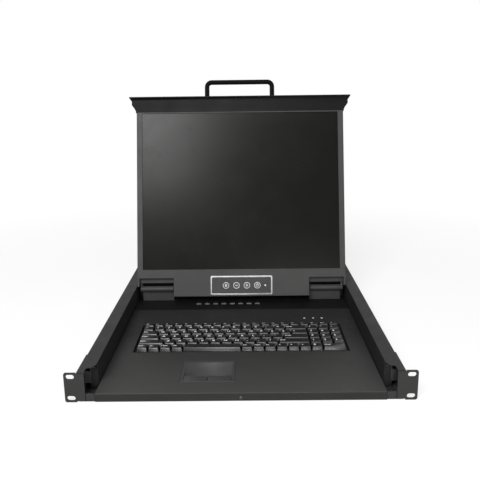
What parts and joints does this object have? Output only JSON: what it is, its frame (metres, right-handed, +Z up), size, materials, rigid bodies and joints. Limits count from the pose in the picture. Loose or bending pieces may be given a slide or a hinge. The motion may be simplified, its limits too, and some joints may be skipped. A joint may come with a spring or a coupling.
{
  "type": "rackmount lcd console drawer",
  "caption": "Shallow rack drawer on telescopic slides with a keyboard and touchpad, and a flat display that folds down over them behind a fascia with a pull handle.",
  "frame": {"origin": "centre of the four front slots, on the rear face of the ears, where they meet the rack's front rails", "axes": "+X to the user's right, +Y into the rack (horizontal), +Z up"},
  "size_m": [0.4826, 0.6228, 0.4281],
  "materials": {
    "chassis_paint": "black powder coat, fine texture",
    "slide_steel": "dark passivated slide steel",
    "tray_paint": "black powder coat",
    "deck_paint": "black powder coat, satin",
    "kvm_paint": "black powder coat, satin",
    "housing_paint": "black powder coat",
    "hinge_paint": "black powder coat",
    "hinge_steel": "plain steel",
    "screw_steel": "zinc plated",
    "latch_plastic": "black moulded",
    "key_frame_plastic": "black moulded",
    "membrane_rubber": "moulded rubber domes",
    "key_plastic": "black moulded keys with light legends",
    "pad_plastic": "dark grey touch surface",
    "pad_button_plastic": "black moulded",
    "light_plastic": "clear light guides",
    "port_button_plastic": "dark grey moulded",
    "connector_plastic": "blue moulded insert in a plated shell",
    "board_green": "glass-fibre board with green mask",
    "supply_parts": "board, transformer, capacitor and heat sink",
    "inlet_plastic": "black moulded",
    "bezel_paint": "black satin",
    "lid_paint": "black powder coat",
    "display_glass": "hard glossy sheet",
    "display_module": "display that is switched off",
    "menu_aluminium": "bright satin line",
    "menu_button_plastic": "black moulded",
    "fascia_paint": "black powder coat",
    "handle_paint": "black satin bar"
  },
  "bodies": {
    "chassis": {"chassis_pan": "chassis_paint", "ear_left": "chassis_paint", "ear_right": "chassis_paint", "ear_screws": "screw_steel", "outer_slide_left": "slide_steel", "outer_slide_right": "slide_steel"},
    "middle_left": {"middle_slide_left": "slide_steel"},
    "middle_right": {"middle_slide_right": "slide_steel"},
    "drawer": {"tray": "tray_paint", "inner_slide_left": "slide_steel", "inner_slide_right": "slide_steel", "deck_cover": "deck_paint", "kvm_cover": "kvm_paint", "keyboard_frame": "key_frame_plastic", "keyboard_membrane": "membrane_rubber", "touchpad": "pad_plastic", "indicator_lights": "light_plastic", "hinge_housing_left": "hinge_paint", "hinge_housing_right": "hinge_paint", "hinge_pins": "hinge_steel", "housing_cover": "housing_paint", "rear_panel": "tray_paint", "video_ports": "connector_plastic", "switch_board": "board_green", "power_supply": "supply_parts", "power_inlet": "inlet_plastic", "cover_screws": "screw_steel"},
    "lcd": {"hinge_arms": "hinge_steel", "lcd_back_cover": "lid_paint", "lcd_bezel": "bezel_paint", "lcd_glass": "display_glass", "lcd_panel": "display_module", "lcd_board": "board_green", "menu_frame": "menu_aluminium", "fascia": "fascia_paint", "handle": "handle_paint", "handle_screws": "screw_steel"},
    "menu_button_1": {"menu_button_1": "menu_button_plastic"},
    "menu_button_2": {"menu_button_2": "menu_button_plastic"},
    "menu_button_3": {"menu_button_3": "menu_button_plastic"},
    "menu_button_4": {"menu_button_4": "menu_button_plastic"},
    "port_button_1": {"port_button_1": "port_button_plastic"},
    "port_button_2": {"port_button_2": "port_button_plastic"},
    "port_button_3": {"port_button_3": "port_button_plastic"},
    "port_button_4": {"port_button_4": "port_button_plastic"},
    "port_button_5": {"port_button_5": "port_button_plastic"},
    "port_button_6": {"port_button_6": "port_button_plastic"},
    "port_button_7": {"port_button_7": "port_button_plastic"},
    "port_button_8": {"port_button_8": "port_button_plastic"},
    "touch_button_left": {"touch_button_left": "pad_button_plastic"},
    "touch_button_right": {"touch_button_right": "pad_button_plastic"},
    "latch_left": {"latch_left": "latch_plastic"},
    "latch_right": {"latch_right": "latch_plastic"},
    "function_keys": {"function_keys": "key_plastic"},
    "number_keys": {"number_keys": "key_plastic"},
    "upper_keys": {"upper_keys": "key_plastic"},
    "home_keys": {"home_keys": "key_plastic"},
    "lower_keys": {"lower_keys": "key_plastic"},
    "modifier_keys": {"modifier_keys": "key_plastic"},
    "space_bar": {"space_bar": "key_plastic"}
  },
  "joints": [
    {"name": "drawer_slide", "type": "slide", "parent": "chassis", "child": "drawer", "axis": [0, -1, 0], "range_m": [0, 0.4]},
    {"name": "middle_slide_left", "type": "slide", "parent": "chassis", "child": "middle_left", "axis": [0, -1, 0], "range_m": [0, 0.2]},
    {"name": "middle_slide_right", "type": "slide", "parent": "chassis", "child": "middle_right", "axis": [0, -1, 0], "range_m": [0, 0.2]},
    {"name": "lcd_hinge", "type": "hinge", "parent": "drawer", "child": "lcd", "pos_m": [0, 0.368, 0.01475], "axis": [1, 0, 0], "range_deg": [-18.8, 106.16]},
    {"name": "menu_button_1_press", "type": "slide", "parent": "lcd", "child": "menu_button_1", "axis": [0, 0.9605, -0.2783], "range_m": [0, 0.0006], "stiffness_N_per_m": 800, "springref_m": -0.0012},
    {"name": "menu_button_2_press", "type": "slide", "parent": "lcd", "child": "menu_button_2", "axis": [0, 0.9605, -0.2783], "range_m": [0, 0.0006], "stiffness_N_per_m": 800, "springref_m": -0.0012},
    {"name": "menu_button_3_press", "type": "slide", "parent": "lcd", "child": "menu_button_3", "axis": [0, 0.9605, -0.2783], "range_m": [0, 0.0006], "stiffness_N_per_m": 800, "springref_m": -0.0012},
    {"name": "menu_button_4_press", "type": "slide", "parent": "lcd", "child": "menu_button_4", "axis": [0, 0.9605, -0.2783], "range_m": [0, 0.0006], "stiffness_N_per_m": 800, "springref_m": -0.0012},
    {"name": "port_button_1_press", "type": "slide", "parent": "drawer", "child": "port_button_1", "axis": [0, 0, -1], "range_m": [0, 0.0008], "stiffness_N_per_m": 800, "springref_m": -0.001},
    {"name": "port_button_2_press", "type": "slide", "parent": "drawer", "child": "port_button_2", "axis": [0, 0, -1], "range_m": [0, 0.0008], "stiffness_N_per_m": 800, "springref_m": -0.001},
    {"name": "port_button_3_press", "type": "slide", "parent": "drawer", "child": "port_button_3", "axis": [0, 0, -1], "range_m": [0, 0.0008], "stiffness_N_per_m": 800, "springref_m": -0.001},
    {"name": "port_button_4_press", "type": "slide", "parent": "drawer", "child": "port_button_4", "axis": [0, 0, -1], "range_m": [0, 0.0008], "stiffness_N_per_m": 800, "springref_m": -0.001},
    {"name": "port_button_5_press", "type": "slide", "parent": "drawer", "child": "port_button_5", "axis": [0, 0, -1], "range_m": [0, 0.0008], "stiffness_N_per_m": 800, "springref_m": -0.001},
    {"name": "port_button_6_press", "type": "slide", "parent": "drawer", "child": "port_button_6", "axis": [0, 0, -1], "range_m": [0, 0.0008], "stiffness_N_per_m": 800, "springref_m": -0.001},
    {"name": "port_button_7_press", "type": "slide", "parent": "drawer", "child": "port_button_7", "axis": [0, 0, -1], "range_m": [0, 0.0008], "stiffness_N_per_m": 800, "springref_m": -0.001},
    {"name": "port_button_8_press", "type": "slide", "parent": "drawer", "child": "port_button_8", "axis": [0, 0, -1], "range_m": [0, 0.0008], "stiffness_N_per_m": 800, "springref_m": -0.001},
    {"name": "touch_button_left_press", "type": "slide", "parent": "drawer", "child": "touch_button_left", "axis": [0, 0, -1], "range_m": [0, 0.0006], "stiffness_N_per_m": 1500, "springref_m": -0.0005},
    {"name": "touch_button_right_press", "type": "slide", "parent": "drawer", "child": "touch_button_right", "axis": [0, 0, -1], "range_m": [0, 0.0006], "stiffness_N_per_m": 1500, "springref_m": -0.0005},
    {"name": "latch_left_press", "type": "slide", "parent": "drawer", "child": "latch_left", "axis": [0, 1, 0], "range_m": [0, 0.004], "stiffness_N_per_m": 600, "springref_m": -0.003},
    {"name": "latch_right_press", "type": "slide", "parent": "drawer", "child": "latch_right", "axis": [0, 1, 0], "range_m": [0, 0.004], "stiffness_N_per_m": 600, "springref_m": -0.003},
    {"name": "function_keys_press", "type": "slide", "parent": "drawer", "child": "function_keys", "axis": [0, 0, -1], "range_m": [0, 0.0025], "stiffness_N_per_m": 3000, "springref_m": -0.001},
    {"name": "number_keys_press", "type": "slide", "parent": "drawer", "child": "number_keys", "axis": [0, 0, -1], "range_m": [0, 0.0025], "stiffness_N_per_m": 3000, "springref_m": -0.001},
    {"name": "upper_keys_press", "type": "slide", "parent": "drawer", "child": "upper_keys", "axis": [0, 0, -1], "range_m": [0, 0.0025], "stiffness_N_per_m": 3000, "springref_m": -0.001},
    {"name": "home_keys_press", "type": "slide", "parent": "drawer", "child": "home_keys", "axis": [0, 0, -1], "range_m": [0, 0.0025], "stiffness_N_per_m": 3000, "springref_m": -0.001},
    {"name": "lower_keys_press", "type": "slide", "parent": "drawer", "child": "lower_keys", "axis": [0, 0, -1], "range_m": [0, 0.0025], "stiffness_N_per_m": 3000, "springref_m": -0.001},
    {"name": "modifier_keys_press", "type": "slide", "parent": "drawer", "child": "modifier_keys", "axis": [0, 0, -1], "range_m": [0, 0.0025], "stiffness_N_per_m": 3000, "springref_m": -0.001},
    {"name": "space_bar_press", "type": "slide", "parent": "drawer", "child": "space_bar", "axis": [0, 0, -1], "range_m": [0, 0.0025], "stiffness_N_per_m": 400, "springref_m": -0.0015}
  ],
  "couplings": [
    {"joint": "middle_slide_left", "follows": "drawer_slide", "ratio": 0.5},
    {"joint": "middle_slide_right", "follows": "drawer_slide", "ratio": 0.5}
  ]
}
